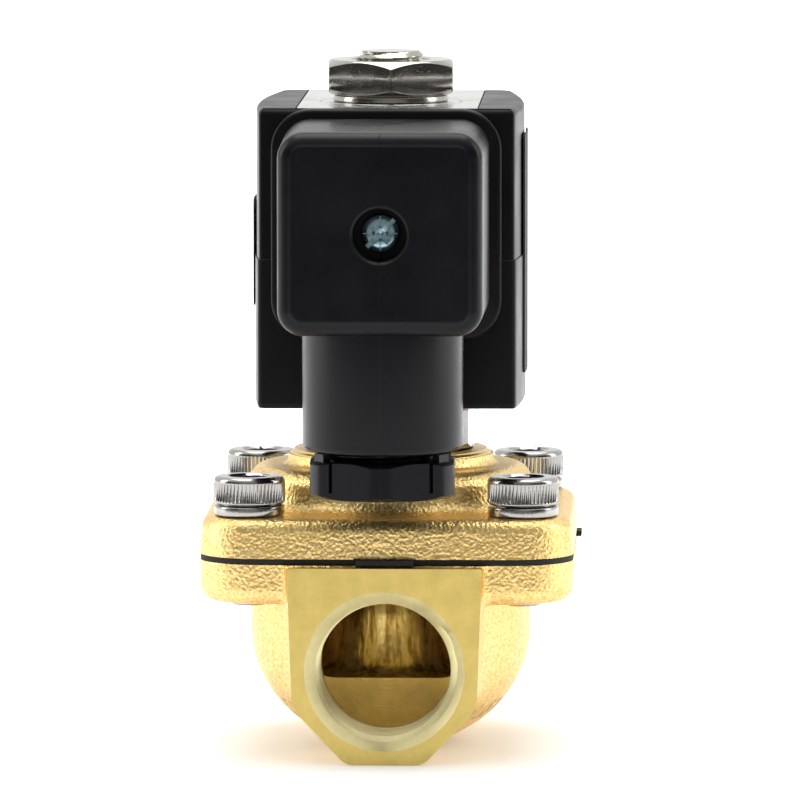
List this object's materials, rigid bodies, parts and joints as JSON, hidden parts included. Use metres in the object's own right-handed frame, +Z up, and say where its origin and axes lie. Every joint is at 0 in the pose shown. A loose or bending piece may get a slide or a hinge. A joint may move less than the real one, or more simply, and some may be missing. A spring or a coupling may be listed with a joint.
{
  "type": "solenoid valve",
  "caption": "Pilot-operated solenoid valve: brass body with two threaded ports, bolted cover over a diaphragm, upright moulded coil and plug-in connector with a cable gland.",
  "frame": {"origin": "centre of the flat foot under the body, on the axis of the seat, the armature tube and the coil", "axes": "+Z up along the armature tube, -Y towards the inlet port and the connector, +X to the right seen from the inlet"},
  "size_m": [0.0535, 0.0745, 0.0989],
  "materials": {
    "cast_brass": "sand cast, fine grain, blasted",
    "turned_brass": "turned bright",
    "rubber": "matte black",
    "bright_steel": "nickel plated, bright",
    "steel": "satin",
    "spring_steel": "drawn",
    "copper": "enamelled copper",
    "coil_plastic": "moulded thermoset, fine grain",
    "connector_plastic": "moulded nylon, satin",
    "bobbin_plastic": "moulded nylon, natural",
    "label_film": "satin film, blank"
  },
  "bodies": {
    "valve": {"valve_body": "cast_brass", "valve_cover": "cast_brass", "diaphragm": "rubber", "diaphragm_spring": "spring_steel", "cover_screw_1": "bright_steel", "cover_screw_2": "bright_steel", "cover_screw_3": "bright_steel", "cover_screw_4": "bright_steel", "spring_washer_1": "spring_steel", "spring_washer_2": "spring_steel", "spring_washer_3": "spring_steel", "spring_washer_4": "spring_steel", "armature_tube": "steel", "tube_o_ring": "rubber", "fixed_core": "bright_steel", "shading_ring": "copper", "plunger_spring": "spring_steel", "top_washer": "bright_steel"},
    "diaphragm_set": {"diaphragm_upper_plate": "steel", "diaphragm_lower_plate": "turned_brass", "diaphragm_rivet": "turned_brass"},
    "plunger": {"plunger": "steel", "plunger_seal": "rubber"},
    "coil": {"coil_housing": "coil_plastic", "coil_bobbin": "bobbin_plastic", "coil_winding": "copper", "yoke_front": "steel", "yoke_rear": "steel", "flux_sleeve_top": "steel", "flux_sleeve_bottom": "steel", "rating_label": "label_film", "side_label": "label_film", "terminal_blade_line": "steel", "terminal_blade_neutral": "steel", "terminal_blade_earth": "steel", "screw_insert": "turned_brass", "connector_gasket": "rubber", "connector_housing": "connector_plastic", "terminal_block": "bobbin_plastic", "contact_line": "turned_brass", "contact_neutral": "turned_brass", "contact_earth": "turned_brass", "clamp_screw_1": "bright_steel", "clamp_screw_2": "bright_steel", "clamp_screw_3": "bright_steel", "connector_screw": "bright_steel", "gland_seal": "rubber"},
    "nut_ring": {"nut_o_ring": "rubber"},
    "coil_nut": {"coil_nut": "bright_steel"},
    "gland_ring": {"gland_ring": "steel"},
    "gland_nut": {"gland_nut": "connector_plastic"}
  },
  "joints": [
    {"name": "plunger_lift", "type": "slide", "parent": "valve", "child": "plunger", "axis": [0, 0, 1], "range_m": [0, 0.0018], "stiffness_N_per_m": 300, "springref_m": -0.004, "deforming": ["plunger_spring"]},
    {"name": "diaphragm_lift", "type": "slide", "parent": "valve", "child": "diaphragm_set", "axis": [0, 0, 1], "range_m": [0, 0.003], "stiffness_N_per_m": 800, "springref_m": -0.004, "deforming": ["diaphragm_spring", "diaphragm"]},
    {"name": "coil_turn", "type": "hinge", "parent": "valve", "child": "coil", "pos_m": [0, 0, 0.07], "axis": [0, 0, 1], "range_deg": [-12, 12]},
    {"name": "nut_ring_lift", "type": "slide", "parent": "valve", "child": "nut_ring", "axis": [0, 0, 1], "range_m": [0, 0.002]},
    {"name": "coil_nut_turn", "type": "hinge", "parent": "nut_ring", "child": "coil_nut", "pos_m": [0, 0, 0.095], "axis": [0, 0, 1], "range_deg": [0, 740]},
    {"name": "gland_ring_drop", "type": "slide", "parent": "coil", "child": "gland_ring", "axis": [0, 0, -1], "range_m": [0, 0.003]},
    {"name": "gland_nut_turn", "type": "hinge", "parent": "gland_ring", "child": "gland_nut", "pos_m": [0, -0.0335, 0.041], "axis": [0, 0, -1], "range_deg": [0, 740]}
  ],
  "couplings": [
    {"joint": "coil_nut_turn", "follows": "nut_ring_lift", "rad_per_m": 6283.2},
    {"joint": "gland_nut_turn", "follows": "gland_ring_drop", "rad_per_m": 4188.8}
  ]
}
